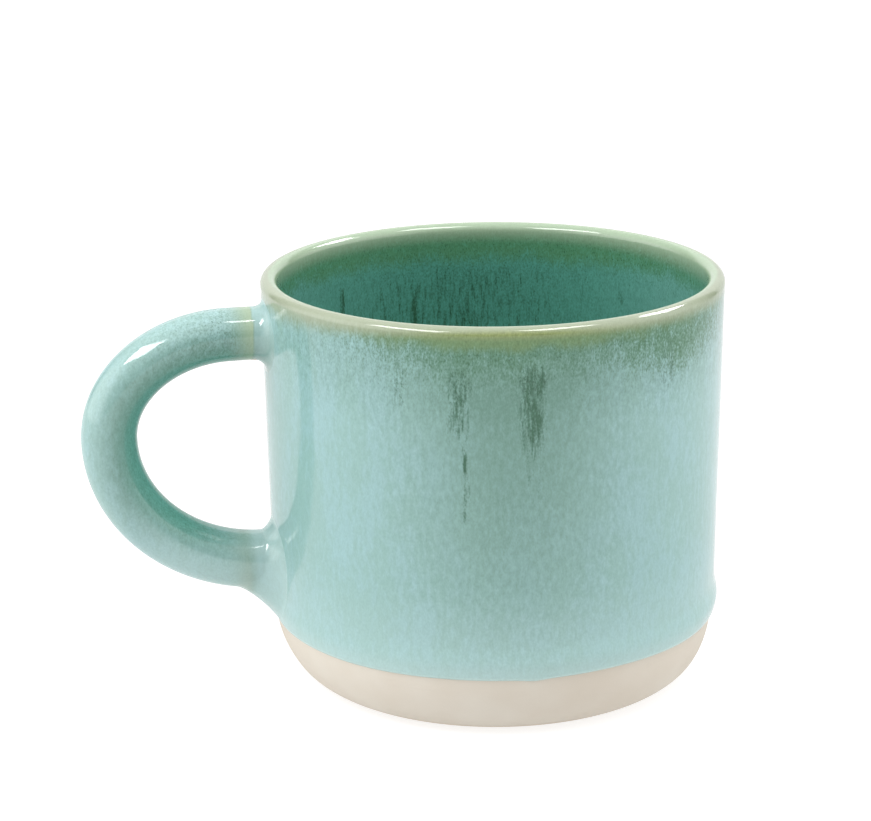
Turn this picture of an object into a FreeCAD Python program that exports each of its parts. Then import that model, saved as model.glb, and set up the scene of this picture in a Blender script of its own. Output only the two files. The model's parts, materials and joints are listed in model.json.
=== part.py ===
"""Stoneware mug with a round rod handle, as its separate fired pieces, in millimetres.

The mug stands on z = 0 with +Z up through the mouth. Z is its axis of revolution, and the handle
stands out along -X in the XZ plane. Each piece is one closed solid, written to parts/NAME.step.

Clay:          stoneware_cup, stoneware_handle
Luting slip:   upper_joint_slip, lower_joint_slip, which fill the scored seats and fillet the roots
Glaze coats:   wall_glaze, rim_glaze, liner_glaze, handle_glaze
"""

import FreeCAD
import Part

import math
import os

Vector = FreeCAD.Vector
UP = Vector(0, 0, 1)
OUT = Vector(-1, 0, 0)         # the way the handle stands out from the wall

# ---- Finished, glazed outside ----
HEIGHT = 81.0
MOUTH_RADIUS = 45.0
WALL_FOOT_RADIUS = 43.8        # where the wall turns into the belly curve
BELLY_Z = 14.2                 # height at which the belly curve starts
BELLY_CURVE_RADIUS = 18.5
FOOT_CURVE_RADIUS = 10.2

# ---- Clay cup ----
GLAZE = 0.45                   # thickness of every glaze coat
LIP_WALL = 2.4                 # clay thickness at the lip
MOUTH_DEPTH = 20.0             # depth of the straight cylindrical part of the mouth
CAVITY_FOOT_RADIUS = 40.3      # inside clay radius at the bottom of the taper
CAVITY_FOOT_Z = 17.0
CAVITY_CORNER_RADIUS = 12.0
FLOOR_Z = 5.0                  # top of the clay floor
RECESS_RADIUS = 26.0           # shallow recess inside the foot ring
RECESS_DEPTH = 0.8

# ---- Edges of the glaze coats ----
GLAZE_LINE_Z = 13.3            # lower edge of the wall glaze, with raw clay below it
ROLL_TOP_Z = 20.0              # the thick rolled edge runs from here down to the glaze line
ROLL_CREST_Z = 15.6
ROLL_PROUD = 0.4               # how far the roll stands out past the wall
ROLL_UNDERSIDE = Vector(1, 0, 0.3)     # direction in which the roll leaves the raw clay
RIM_BAND_OUTSIDE = 6.5         # how far the rim glaze reaches down outside
RIM_BAND_INSIDE = 9.0          # and inside

# ---- Handle: a round rod along two quarter ellipses, with reach measured from the mug's axis ----
UPPER_ROOT_Z = 71.5
UPPER_BEND_REACH = 51.9        # where the upper arm starts to bend
LOOP_REACH = 75.3              # the centreline's furthest point
LOOP_MIDDLE_Z = 52.4
LOWER_ROOT_Z = 25.9
LOWER_BEND_REACH = 45.6        # where the lower arm stops bending
UPPER_ROD_RADIUS = 5.1         # over the glaze
LOWER_ROD_RADIUS = 5.7
SECTIONS_PER_BEND = 8
ROOT_DEPTH = 5.0               # how far the rod is drawn into the wall before it is trimmed

# ---- Joints between handle and wall ----
SLIP_GAP = 0.8                 # slip pad between the wall and each end of the rod
UPPER_FILLET = 2.0             # concave radius of the slip collar round the upper root
LOWER_FILLET = 3.6
FLARE_FOOT_ANGLE = math.radians(30)    # between the collar's edge and the wall
FLARE_SINK = 0.12              # how far the collar's outer end starts under the rod's surface
FLARE_TAIL = 1.5               # how deep the collar is drawn into the wall before it is trimmed
SCORE_WIDTH = 0.5              # scored lines that key the slip into both clay faces
SCORE_DEPTH = 0.5
SCORE_PITCH = 2.2
SCORE_LINES = 3
SCORE_MARGIN = 1.0             # unscored border round each end of the rod
PLUG_TOP_Z = 1.2 * HEIGHT      # top of the plugs used for trimming, clear above the rim


# ---------------------------------------------------------------- profiles of revolution
def at(radius, z):
    return Vector(radius, 0, z)


def polar(centre, radius, angle):
    """A point of a profile circle, with the angle measured up from the outward radial direction."""
    return at(centre.x + radius * math.cos(angle), centre.z + radius * math.sin(angle))


def lines(*points):
    return [Part.makeLine(a, b) for a, b in zip(points, points[1:])]


def arc(start, middle, end):
    return Part.Arc(start, middle, end).toShape()


def revolve(edges):
    """The solid swept by a closed profile round the mug's axis."""
    face = Part.Face(Part.Wire(edges))
    return face.revolve(Vector(0, 0, 0), UP, 360)


def wall_lean():
    """Angle between the outside wall and the vertical."""
    return math.atan2(MOUTH_RADIUS - WALL_FOOT_RADIUS, HEIGHT - BELLY_Z)


def wall_radius(z):
    """Outside radius of the glazed wall above the belly."""
    return WALL_FOOT_RADIUS + (z - BELLY_Z) * math.tan(wall_lean())


def belly_curves(offset):
    """Circles of the belly and foot curves for an outside grown by offset: (centre, radius) each."""
    lean = wall_lean()
    start = at(WALL_FOOT_RADIUS + offset, BELLY_Z)
    belly = polar(start, BELLY_CURVE_RADIUS, math.pi - lean)
    rise = belly.z - FOOT_CURVE_RADIUS
    run = math.sqrt((BELLY_CURVE_RADIUS - FOOT_CURVE_RADIUS) ** 2 - rise ** 2)
    return belly, at(belly.x + run, FOOT_CURVE_RADIUS)


def belly_radius(offset, z):
    """Radius of the belly curve at a height."""
    belly, _ = belly_curves(offset)
    return belly.x + math.sqrt(BELLY_CURVE_RADIUS ** 2 - (belly.z - z) ** 2)


def foot_to_wall(offset):
    """Edges from the foot's flat up to the top of the belly, and their two end points."""
    belly, foot = belly_curves(offset)
    meet = math.atan2(foot.z - belly.z, foot.x - belly.x)
    flat = at(foot.x, 0)
    joint = polar(belly, BELLY_CURVE_RADIUS, meet)
    top = at(WALL_FOOT_RADIUS + offset, BELLY_Z)
    low_arc = arc(flat, polar(foot, FOOT_CURVE_RADIUS, (meet - math.pi / 2) / 2), joint)
    high_arc = arc(joint, polar(belly, BELLY_CURVE_RADIUS, (meet - wall_lean()) / 2), top)
    return [low_arc, high_arc], flat, top


def lip_and_inside(outset, inset, crest_z):
    """Edges from the outside wall over the round lip and down the inside to the floor's centre.

    outset is added to the glazed outside, inset is taken off the clay cavity.
    """
    inner = MOUTH_RADIUS - GLAZE - LIP_WALL - inset
    half = (wall_radius(crest_z) + outset - inner) / 2
    shoulder = crest_z - half
    outer_edge = at(wall_radius(shoulder) + outset, shoulder)
    inner_edge = at(inner, shoulder)
    band = at(inner, HEIGHT - MOUTH_DEPTH)
    bottom = CAVITY_FOOT_RADIUS - inset
    corner = CAVITY_CORNER_RADIUS - inset
    floor_z = FLOOR_Z + inset
    lean = math.atan2(inner - bottom, HEIGHT - MOUTH_DEPTH - CAVITY_FOOT_Z)
    centre = at(bottom - corner, floor_z + corner)
    turn = polar(centre, corner, -lean)
    floor = polar(centre, corner, -math.pi / 2)
    edges = [arc(outer_edge, at(inner + half, crest_z), inner_edge)]
    edges += lines(inner_edge, band, turn)
    edges += [arc(turn, polar(centre, corner, -(lean + math.pi / 2) / 2), floor)]
    edges += lines(floor, at(0, floor_z))
    return edges, outer_edge, at(0, floor_z)


# ---------------------------------------------------------------- the cup and its coats
def clay_cup():
    """The cup with its cavity, full round lip and shallow foot recess."""
    foot, flat, top = foot_to_wall(-GLAZE)
    inside, lip, floor = lip_and_inside(-GLAZE, 0, HEIGHT - GLAZE)
    cup = revolve(foot + lines(top, lip) + inside + lines(floor, at(0, 0), flat))
    return cup.cut(Part.makeCylinder(RECESS_RADIUS, RECESS_DEPTH))


def clay_plug(offset=0.0):
    """The cup's outside as a solid with no cavity, grown by offset."""
    foot, flat, top = foot_to_wall(offset - GLAZE)
    head = at(wall_radius(PLUG_TOP_Z) + offset - GLAZE, PLUG_TOP_Z)
    return revolve(foot + lines(top, head, at(0, PLUG_TOP_Z), at(0, 0), flat))


def rolled_edge():
    """Edges of the thick lower edge of the wall glaze, from the raw clay up to the plain wall."""
    clay = at(belly_radius(-GLAZE, GLAZE_LINE_Z), GLAZE_LINE_Z)
    crest = at(wall_radius(ROLL_CREST_Z) + ROLL_PROUD, ROLL_CREST_Z)
    wall = at(wall_radius(ROLL_TOP_Z), ROLL_TOP_Z)
    curve = Part.BSplineCurve()
    curve.interpolate(Points=[clay, crest, wall], Tangents=[ROLL_UNDERSIDE, UP, UP],
                      TangentFlags=[True, True, True])
    return curve.toShape(), clay, wall


def glazed_plug():
    """The glazed outside as a solid with no cavity, from the glaze line up."""
    roll, clay, wall = rolled_edge()
    head = at(wall_radius(PLUG_TOP_Z), PLUG_TOP_Z)
    return revolve([roll] + lines(wall, head, at(0, PLUG_TOP_Z), at(0, clay.z), clay))


def glazed_cup():
    """Everything inside the finished glaze surface, closed off inside the clay of the floor."""
    roll, clay, wall = rolled_edge()
    inside, lip, floor = lip_and_inside(0, GLAZE, HEIGHT)
    depth = FLOOR_Z / 2
    foot_ring = at((RECESS_RADIUS + WALL_FOOT_RADIUS) / 2, depth)
    return revolve([roll] + lines(wall, lip) + inside + lines(floor, at(0, depth), foot_ring, clay))


def zone(inner, outer, low, high):
    """A tube round the mug's axis, used to part one glaze coat from the next."""
    base = Vector(0, 0, low)
    tube = Part.makeCylinder(outer, high - low, base)
    if inner:
        tube = tube.cut(Part.makeCylinder(inner, high - low, base))
    return tube


# ---------------------------------------------------------------- the handle
def loop_point(bend, angle):
    """A point of the handle's centreline and its direction: bend 0 is the upper arm, 1 the lower."""
    start = UPPER_BEND_REACH if bend == 0 else LOWER_BEND_REACH
    rise = (UPPER_ROOT_Z if bend == 0 else LOWER_ROOT_Z) - LOOP_MIDDLE_Z
    run = LOOP_REACH - start
    place = Vector(-start - run * math.sin(angle), 0, LOOP_MIDDLE_Z + rise * math.cos(angle))
    slope = Vector(-run * math.cos(angle), 0, -rise * math.sin(angle))
    return place, slope if bend == 0 else slope.negative()


def rod(thin=0.0):
    """The handle's rod, drawn a little way into the wall at both ends; thin takes the glaze off."""
    stations = [(Vector(-wall_radius(UPPER_ROOT_Z) + ROOT_DEPTH, 0, UPPER_ROOT_Z), OUT)]
    steps = [math.pi / 2 * k / SECTIONS_PER_BEND for k in range(SECTIONS_PER_BEND + 1)]
    stations += [loop_point(0, angle) for angle in steps]
    stations += [loop_point(1, angle) for angle in reversed(steps[:-1])]
    stations += [(Vector(-wall_radius(LOWER_ROOT_Z) + ROOT_DEPTH, 0, LOWER_ROOT_Z), OUT.negative())]
    sections = []
    for index, (place, direction) in enumerate(stations):
        share = index / (len(stations) - 1)
        radius = UPPER_ROD_RADIUS + (LOWER_ROD_RADIUS - UPPER_ROD_RADIUS) * share - thin
        sections.append(Part.Wire(Part.makeCircle(radius, place, direction)))
    return Part.makeLoft(sections, True, False)


def flare(root_z, rod_radius, fillet, coat=0.0):
    """The concave collar round one root, turned about the root's axis; coat grows it by the glaze.

    Its arc starts just under the rod's surface and ends in a short cone that runs into the wall.
    """
    wall = at(wall_radius(root_z) - GLAZE, 0)
    centre = at(wall.x + fillet * math.cos(FLARE_FOOT_ANGLE), rod_radius - GLAZE - FLARE_SINK + fillet)
    reach = fillet - coat
    turn = FLARE_FOOT_ANGLE - math.pi
    foot = polar(centre, reach, turn)
    tail = at(foot.x - FLARE_TAIL, foot.z + FLARE_TAIL / math.tan(FLARE_FOOT_ANGLE))
    tip = polar(centre, reach, -math.pi / 2)
    middle = polar(centre, reach, (turn - math.pi / 2) / 2)
    edges = [arc(tip, middle, foot)] + lines(foot, tail, at(tail.x, 0), at(tip.x, 0), tip)
    collar = Part.Face(Part.Wire(edges)).revolve(Vector(0, 0, 0), OUT, 360)
    return collar.mirror(Vector(0, 0, 0), OUT).translated(Vector(0, 0, root_z))


def scoring(root_z, rod_radius):
    """Crossed scoring lines at one root, reaching into the wall and into the end of the rod."""
    wall = wall_radius(root_z) - GLAZE
    start = Vector(-wall + SCORE_DEPTH, 0, root_z)
    depth = SLIP_GAP + 2 * SCORE_DEPTH
    half = rod_radius - GLAZE - SCORE_MARGIN
    bars = []
    for index in range(SCORE_LINES):
        offset = (index - (SCORE_LINES - 1) / 2) * SCORE_PITCH - SCORE_WIDTH / 2
        upright = Vector(start.x - depth, offset, root_z - half)
        level = Vector(start.x - depth, -half, root_z + offset)
        bars.append(Part.makeBox(depth, SCORE_WIDTH, 2 * half, upright))
        bars.append(Part.makeBox(depth, 2 * half, SCORE_WIDTH, level))
    limit = Part.makeCylinder(half, depth, start, OUT)
    return bars[0].multiFuse(bars[1:]).common(limit)


# ---------------------------------------------------------------- assembly
def only_solid(shape, name):
    """The one solid of a shape, or the build stops."""
    solids = [s for s in shape.Solids if s.Volume > 1.0]
    if len(solids) != 1:
        raise ValueError(f"{name} came out as {len(solids)} solids")
    return solids[0]


def build():
    """All eight pieces, as a dict of node name to solid."""
    roots = [(UPPER_ROOT_Z, UPPER_ROD_RADIUS, UPPER_FILLET),
             (LOWER_ROOT_Z, LOWER_ROD_RADIUS, LOWER_FILLET)]
    scores = [scoring(root_z, radius) for root_z, radius, _ in roots]
    collars = [flare(*root) for root in roots]
    glazed_collars = [flare(*root, GLAZE) for root in roots]

    bare_cup = clay_cup()
    cup = bare_cup.cut(scores)
    clay_rod = rod(GLAZE)
    handle = clay_rod.cut([clay_plug(SLIP_GAP)] + scores)
    slips = [collar.cut(clay_plug()).fuse(score).cut([cup, handle])
             for collar, score in zip(collars, scores)]

    glazed_outside = glazed_plug()
    arm = rod().cut(glazed_outside)
    arm = arm.fuse([collar.cut(glazed_outside) for collar in glazed_collars])
    handle_glaze = arm.cut(clay_rod).cut(collars)
    coats = glazed_cup().cut([bare_cup] + collars)
    split = MOUTH_RADIUS - GLAZE - 0.8 * LIP_WALL
    far = 2 * MOUTH_RADIUS
    rim_outside = HEIGHT - RIM_BAND_OUTSIDE
    rim_inside = HEIGHT - RIM_BAND_INSIDE
    rim_zone = zone(0, split, rim_inside, far).fuse(zone(split, far, rim_outside, far))
    return {
        "stoneware_cup": cup,
        "stoneware_handle": handle,
        "upper_joint_slip": slips[0],
        "lower_joint_slip": slips[1],
        "wall_glaze": coats.common(zone(split, far, 0, rim_outside)),
        "rim_glaze": coats.common(rim_zone),
        "liner_glaze": coats.common(zone(0, split, 0, rim_inside)),
        "handle_glaze": handle_glaze,
    }


os.makedirs("parts", exist_ok=True)
for name, shape in build().items():
    solid = only_solid(shape, name)
    solid.exportStep(f"parts/{name}.step")
    print(f"{name}: {solid.Volume / 1000:.2f} cm3, valid {solid.isValid()}")
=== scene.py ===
"""Looks of the stoneware mug: glossy glaze coats, raw clay foot, soft white studio.

Lengths in this file are millimetres unless a name ends in _M; meshes are written in metres.
The mug's axis is Z, it stands on z = 0 and its handle stands out along -X. Directions round the
mug are angles from +X; the side that faces the camera runs from about -172 to -34 degrees.
"""

import json
import math

import bmesh
import bpy
import numpy as np
from mathutils import Matrix, Vector


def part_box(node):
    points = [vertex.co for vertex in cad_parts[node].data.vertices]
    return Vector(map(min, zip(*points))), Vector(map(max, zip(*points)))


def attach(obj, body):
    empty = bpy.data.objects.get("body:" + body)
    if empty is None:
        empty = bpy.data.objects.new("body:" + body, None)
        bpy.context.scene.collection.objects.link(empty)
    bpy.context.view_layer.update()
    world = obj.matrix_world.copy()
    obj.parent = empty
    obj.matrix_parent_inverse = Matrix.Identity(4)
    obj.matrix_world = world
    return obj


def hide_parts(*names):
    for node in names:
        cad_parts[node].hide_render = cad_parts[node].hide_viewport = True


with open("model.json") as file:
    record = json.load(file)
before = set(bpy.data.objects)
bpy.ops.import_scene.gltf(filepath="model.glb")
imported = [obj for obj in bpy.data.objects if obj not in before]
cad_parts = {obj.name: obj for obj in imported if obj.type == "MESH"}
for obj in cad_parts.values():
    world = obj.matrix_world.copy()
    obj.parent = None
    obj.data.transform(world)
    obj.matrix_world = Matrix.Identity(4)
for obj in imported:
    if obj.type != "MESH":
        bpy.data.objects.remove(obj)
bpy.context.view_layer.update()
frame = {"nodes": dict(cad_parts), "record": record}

MM = 0.001


# ---------------------------------------------------------------- sizes taken from the frame
def box_mm(node):
    """Lowest and highest corner of a CAD node, in millimetres."""
    low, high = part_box(node)
    return np.array(low) / MM, np.array(high) / MM


_, RIM_HIGH = box_mm("rim_glaze")
WALL_LOW, WALL_HIGH = box_mm("wall_glaze")
LINER_LOW, LINER_HIGH = box_mm("liner_glaze")
ROD_LOW, ROD_HIGH = box_mm("stoneware_handle")
MOUTH = next(m for m in frame["record"]["mounts"] if m["name"] == "mouth")

HEIGHT = RIM_HIGH[2]
MOUTH_RADIUS = RIM_HIGH[0]
MOUTH_INSIDE = MOUTH["dims"]["r_mm"]
GLAZE_LINE_Z = WALL_LOW[2]
RIM_SPLIT_OUTSIDE = WALL_HIGH[2]       # where the rim glaze meets the wall glaze
RIM_SPLIT_INSIDE = LINER_HIGH[2]       # and where it meets the liner glaze
FLOOR_Z = LINER_LOW[2]
GLAZE = 0.45                           # thickness of every glaze coat

# ---- outside profile below the rim ----
WALL_FOOT_RADIUS = 43.8
BELLY_Z = 14.2
BELLY_CURVE_RADIUS = 18.5
FOOT_CURVE_RADIUS = 10.2
FOOT_DRIFT = 0.36                      # how far the hand-turned foot sits off the mug's axis
FOOT_DRIFT_ANGLE = math.radians(-12)
WALL_LEAN = math.atan2(MOUTH_RADIUS - WALL_FOOT_RADIUS, HEIGHT - BELLY_Z)

# ---- inside profile ----
MOUTH_BOTTOM_Z = HEIGHT - 20.0
CAVITY_FOOT_RADIUS = 40.3
CAVITY_FOOT_Z = 17.0
CAVITY_CORNER_RADIUS = 12.0
RECESS_RADIUS = 26.0
RECESS_DEPTH = 0.8

# ---- handle ----
ROD_TOP = 5.1                          # radius of the glazed rod at its upper end
ROD_BOTTOM = 5.7
UPPER_Z = ROD_HIGH[2] - (ROD_TOP - GLAZE)
LOWER_Z = ROD_LOW[2] + (ROD_BOTTOM - GLAZE)
LOOP_REACH = 75.3
LOOP_MIDDLE_Z = 52.4
UPPER_BEND_REACH = 51.9
LOWER_BEND_REACH = 45.6
UPPER_CREASE = 2.7                     # distance from the wall at which the rod's colour ends
LOWER_CREASE = 5.0

# ---- fineness of the meshes ----
AROUND = 640
WALL_ROWS = 150
HIDDEN_ROW_STEP = 12                   # the wall coat's hidden back keeps one row in twelve
HIDDEN_INSET = 0.03                    # and lies this far inside the clay
ROD_SIDES = 96
ROD_ROWS = 180
FILLET_ROWS = 16


# ---------------------------------------------------------------- profiles of the cup
def wall_radius(z):
    """Radius of the glazed wall, straight from belly to lip."""
    return WALL_FOOT_RADIUS + (z - BELLY_Z) * math.tan(WALL_LEAN)


def belly_circles():
    """Centres (radius, z) of the belly curve and of the foot's edge curve, for the raw clay."""
    start = WALL_FOOT_RADIUS - GLAZE
    belly = (start - BELLY_CURVE_RADIUS * math.cos(WALL_LEAN),
             BELLY_Z + BELLY_CURVE_RADIUS * math.sin(WALL_LEAN))
    rise = belly[1] - FOOT_CURVE_RADIUS
    run = math.sqrt((BELLY_CURVE_RADIUS - FOOT_CURVE_RADIUS) ** 2 - rise ** 2)
    return belly, (belly[0] + run, FOOT_CURVE_RADIUS)


BELLY, FOOT = belly_circles()
MEET_ANGLE = math.atan2(FOOT[1] - BELLY[1], FOOT[0] - BELLY[0])
MEET_Z = BELLY[1] + BELLY_CURVE_RADIUS * math.sin(MEET_ANGLE)


def clay_radius(z):
    """Outside radius of the raw clay at any height, as an array."""
    z = np.asarray(z, float)
    wall = wall_radius(z) - GLAZE
    belly = BELLY[0] + np.sqrt(np.maximum(BELLY_CURVE_RADIUS ** 2 - (BELLY[1] - z) ** 2, 0))
    foot = FOOT[0] + np.sqrt(np.maximum(FOOT_CURVE_RADIUS ** 2 - (FOOT[1] - z) ** 2, 0))
    return np.where(z >= BELLY_Z, wall, np.where(z >= MEET_Z, belly, foot))


def arc_points(centre, radius, start, end, count):
    """Points (radius, z) along an arc, both ends included."""
    angles = np.linspace(start, end, count)
    return [(centre[0] + radius * math.cos(a), centre[1] + radius * math.sin(a)) for a in angles]


def line_points(start, end, count):
    """Points that cut the line from start to end into count equal steps, without its ends."""
    return [(start[0] + (end[0] - start[0]) * t, start[1] + (end[1] - start[1]) * t)
            for t in np.linspace(0, 1, count + 1)[1:-1]]


def lip_points(inset, count):
    """The round lip from its outside edge over the crest to its inside edge, inset into the glaze."""
    inner = MOUTH_INSIDE + inset
    crest = HEIGHT - inset
    half = (wall_radius(crest) - inset - inner) / 2
    return arc_points((inner + half, crest - half), half, 0, math.pi, count)


def inside_points(inset, top_z, count):
    """The cavity's side from top_z down to the floor's centre; inset 0 is the glaze surface."""
    bottom = CAVITY_FOOT_RADIUS - GLAZE + inset
    corner = CAVITY_CORNER_RADIUS - GLAZE + inset
    floor = FLOOR_Z + GLAZE - inset
    inner = MOUTH_INSIDE + inset
    lean = math.atan2(inner - bottom, MOUTH_BOTTOM_Z - CAVITY_FOOT_Z)
    centre = (bottom - corner, floor + corner)
    mouth = [(inner, z) for z in np.linspace(top_z, MOUTH_BOTTOM_Z, count // 3)]
    curve = arc_points(centre, corner, -lean, -math.pi / 2, count // 3)
    taper = line_points((inner, MOUTH_BOTTOM_Z), curve[0], count // 3)
    flat = [(r, floor) for r in np.linspace(centre[0], 0, count // 4)[1:]]
    return mouth + taper + curve + flat


# ---------------------------------------------------------------- unevenness of the glaze
# Waves: how many go round the mug, and the millimetres of height in one radian of each
LINE_WAVES = [(2, 1), (3, 1), (5, 1), (8, 1)]
ROLL_WAVES = [(4, 9), (9, 7)]
WOBBLE_WAVES = [(6, 7), (11, 9), (17, 5), (7, 13)]
RAGGED_WAVES = [(9, 30), (14, 40), (23, 30), (37, 25)]

LINE_SWING = 0.38                      # rise and fall of the wall glaze's lower edge
LINE_DROP = 0.1                        # how far it hangs, on average, below the CAD's edge
KINK_ANGLE = math.radians(-93)         # a small drop in that edge
KINK_DEPTH = 0.3
KINK_WIDTH = 0.03

EDGE_ROUND = 1.1                       # height over which the edge rounds off onto the clay
ROLL_HEIGHT = 0.42                     # the thick roll of glaze just above the edge
ROLL_CENTRE = 3.1                      # above the edge
ROLL_SPREAD = 2.4
ROLL_MEAN = 1.15                       # how full the roll is on average
ROLL_TILT = 0.45                       # how much fuller it is on its full side
ROLL_LUMPS = 0.2                       # and how uneven
ROLL_FULL_ANGLE = math.radians(-12)    # side on which the roll is thickest

WOBBLE = 0.035                         # unevenness of the whole wall
CALM_DEPTH = 2.0                       # the wobble starts this far below the lip
CALM_FADE = 10.0                       # and has grown to its full size this much further down
RUN_RELIEF = 0.05                      # how far a run stands out

# Runs of darker glaze: angle in degrees, half width, top, bottom, strength
OUTSIDE_RUNS = [
    (-111.0, 2.1, 75.0, 57.5, 0.65),
    (-110.0, 0.28, 61.0, 53.0, 1.30),
    (-109.6, 0.7, 58.0, 42.0, 0.45),
    (-93.9, 2.3, 75.5, 55.5, 0.95),
    (-93.5, 1.9, 62.0, 46.0, 0.22),
    (-125.5, 1.5, 75.0, 64.0, 0.40),
    (-57.0, 2.2, 77.0, 64.0, 0.35),
    (15.0, 1.6, 77.0, 53.0, 0.70),
    (24.0, 0.5, 72.0, 58.0, 0.60),
    (58.0, 2.0, 77.0, 63.0, 0.35),
    (96.0, 0.9, 76.0, 50.0, 0.75),
    (108.0, 1.8, 77.0, 60.0, 0.45),
    (141.0, 1.1, 76.0, 57.0, 0.45),
]
INSIDE_RUNS = [
    (124.0, 0.6, 73.5, 58.0, 1.10),
    (99.5, 0.7, 69.0, 54.0, 0.60),
    (38.0, 1.2, 74.0, 63.0, 0.25),
    (-70.0, 0.8, 73.0, 55.0, 0.60),
    (-35.0, 1.3, 74.0, 60.0, 0.35),
    (172.0, 0.8, 73.0, 58.0, 0.45),
]
RUN_TOP_FADE = 5.0
RUN_TAIL_SHARE = 0.35                  # share of a run's length over which its lower end fades
RUN_WANDER = 0.003                     # how far a run sways sideways, in radians
RUN_WANDER_HEIGHT = 2.3                # millimetres of height in one radian of that sway


def smooth(low, high, value):
    """Smooth step of value from 0 at low to 1 at high."""
    t = np.clip((value - low) / (high - low), 0, 1)
    return t * t * (3 - 2 * t)


def lumps(angle, z, waves, seed):
    """A smooth wavy field over the wall between about -1 and 1, periodic round the mug."""
    draw = np.random.default_rng(seed)
    field = 0
    for around, along in waves:
        phase = draw.uniform(0, 2 * math.pi, 2)
        field = field + np.sin(around * angle + phase[0]) * np.cos(z / along + phase[1])
    return field / len(waves)


def glaze_line(angle):
    """Height of the wall glaze's lower edge round the mug."""
    wave = lumps(angle, 0, LINE_WAVES, 4)
    kink = KINK_DEPTH * np.exp(-(np.sin((angle - KINK_ANGLE) / 2) / KINK_WIDTH) ** 2)
    return GLAZE_LINE_Z - LINE_DROP + LINE_SWING * wave - kink


def runs(angle, z, places):
    """How much of a dark glaze run covers each point, 0 to 1."""
    cover = 0
    for degrees, half, top, bottom, strength in places:
        centre = math.radians(degrees) + RUN_WANDER * np.sin(z / RUN_WANDER_HEIGHT + degrees)
        across = MOUTH_RADIUS * np.sin(angle - centre) / half
        facing = np.cos(angle - centre) > 0
        tail = RUN_TAIL_SHARE * (top - bottom)
        along = smooth(top, top - RUN_TOP_FADE, z) * smooth(bottom, bottom + tail, z)
        cover = cover + strength * np.exp(-np.abs(across) ** 3) * along * facing
    return np.clip(cover, 0, 1)


def wall_coat(angle, z):
    """Thickness of the wall glaze above the raw clay."""
    above = z - glaze_line(angle)
    nose = np.sqrt(np.clip(1 - (1 - np.clip(above / EDGE_ROUND, 0, 1)) ** 2, 0, 1))
    fullness = ROLL_MEAN + ROLL_TILT * np.cos(angle - ROLL_FULL_ANGLE)
    fullness = fullness + ROLL_LUMPS * lumps(angle, z, ROLL_WAVES, 11)
    roll = ROLL_HEIGHT * np.exp(-((above - ROLL_CENTRE) / ROLL_SPREAD) ** 2) * fullness
    calm = np.clip((HEIGHT - CALM_DEPTH - z) / CALM_FADE, 0, 1)
    wobble = WOBBLE * calm * lumps(angle, z, WOBBLE_WAVES, 3)
    return nose * (GLAZE + roll + wobble + RUN_RELIEF * runs(angle, z, OUTSIDE_RUNS))


def wall_surface(angle, z):
    """Points of the finished wall surface, as (..., 3) millimetres."""
    radius = clay_radius(z) + wall_coat(angle, z)
    return np.stack([radius * np.cos(angle), radius * np.sin(angle), z + 0 * radius], axis=-1)


# ---------------------------------------------------------------- meshes
def skin(name, grid, poles):
    """A closed mesh over a grid of points. Columns close on themselves; rows do too, or end in poles."""
    rows, columns = grid.shape[:2]
    mesh = bpy.data.meshes.new(name)
    build = bmesh.new()
    made = []
    for index, row in enumerate(grid):
        if poles and index in (0, rows - 1):
            made.append([build.verts.new(Vector(row.mean(axis=0)) * MM)] * columns)
        else:
            made.append([build.verts.new(Vector(p) * MM) for p in row])
    last = rows - 1 if poles else rows
    for i in range(last):
        for j in range(columns):
            ring = [made[i][j], made[i][(j + 1) % columns],
                    made[(i + 1) % rows][(j + 1) % columns], made[(i + 1) % rows][j]]
            corners = [v for k, v in enumerate(ring) if v not in ring[:k]]
            build.faces.new(corners)
    bmesh.ops.recalc_face_normals(build, faces=build.faces)
    build.to_mesh(mesh)
    build.free()
    mesh.shade_smooth()
    mesh.set_sharp_from_angle(angle=math.radians(50))
    piece = bpy.data.objects.new(name, mesh)
    bpy.context.scene.collection.objects.link(piece)
    return piece


def turned(profile, angles):
    """Grid of points from a profile of (radius, z) turned round the axis."""
    profile = np.array(profile, float)
    radius, z = profile[:, :1], profile[:, 1:]
    return np.stack([radius * np.cos(angles), radius * np.sin(angles), z + 0 * angles], axis=-1)


def columns_around():
    """Angles of the mesh columns round the mug."""
    return np.linspace(0, 2 * math.pi, AROUND, endpoint=False)


def paint(piece, **fields):
    """Stores named per-point values from 0 to 1 that the materials read."""
    for name, values in fields.items():
        layer = piece.data.attributes.new(name, "FLOAT", "POINT")
        layer.data.foreach_set("value", np.clip(values, 0, 1).astype(np.float32))


def points_of(piece):
    """A piece's vertices as an (n, 3) array in millimetres."""
    flat = np.zeros(len(piece.data.vertices) * 3)
    piece.data.vertices.foreach_get("co", flat)
    return flat.reshape(-1, 3) / MM


def finish_piece(piece, material, node):
    """Gives a piece its material and hangs it on the mug's one body in place of its CAD node."""
    piece.data.materials.append(material)
    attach(piece, "root")
    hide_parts(node)


# ---------------------------------------------------------------- materials
def linear(red, green, blue):
    """A colour as seen, 0 to 255, in the linear values that shaders use."""
    def channel(value):
        """One channel, by the sRGB curve."""
        v = value / 255
        return v / 12.92 if v <= 0.04045 else ((v + 0.055) / 1.055) ** 2.4
    return (channel(red), channel(green), channel(blue), 1.0)


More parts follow.
